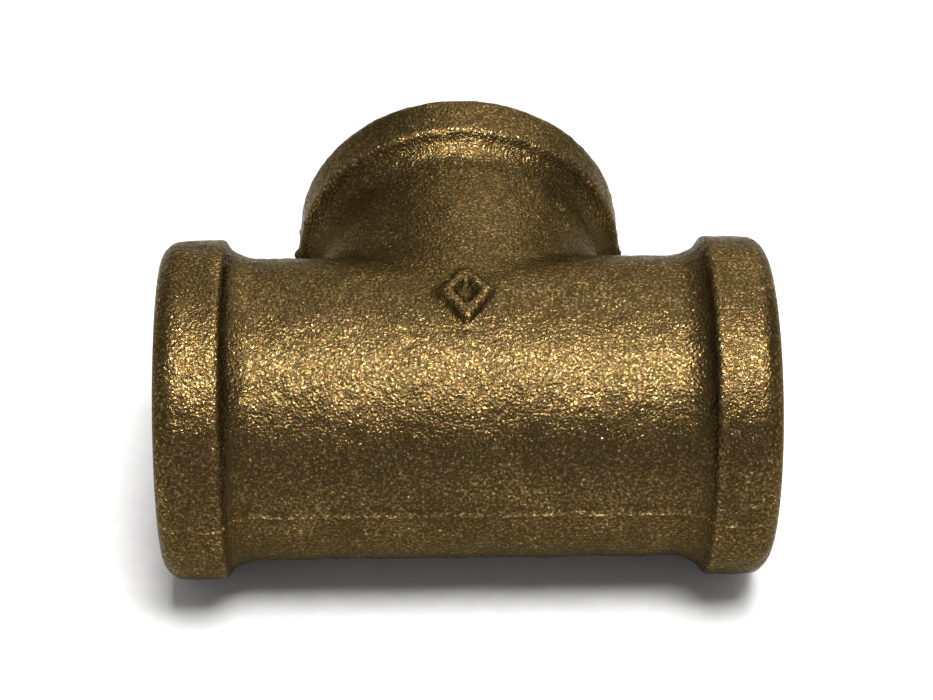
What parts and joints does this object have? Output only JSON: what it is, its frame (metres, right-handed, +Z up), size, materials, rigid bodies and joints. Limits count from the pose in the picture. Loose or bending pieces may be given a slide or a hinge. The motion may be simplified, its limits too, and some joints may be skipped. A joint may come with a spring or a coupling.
{
  "type": "threaded tee fitting",
  "caption": "Cast bronze pipe tee with banded, internally threaded ends and a rough sand-cast skin.",
  "frame": {"origin": "on the floor that the three bands rest on, under the middle of the fitting's bounding box; the axes of the run and the branch cross 5.55 mm towards -Y and 14.4 mm above it", "axes": "+X along the run, +Y out through the branch, +Z up with the run and the branch level"},
  "size_m": [0.051, 0.0398, 0.0288],
  "materials": {
    "cast_bronze": "sand-cast, unpolished, lightly tarnished"
  },
  "bodies": {
    "root": {"tee_body": "cast_bronze"}
  },
  "joints": []
}
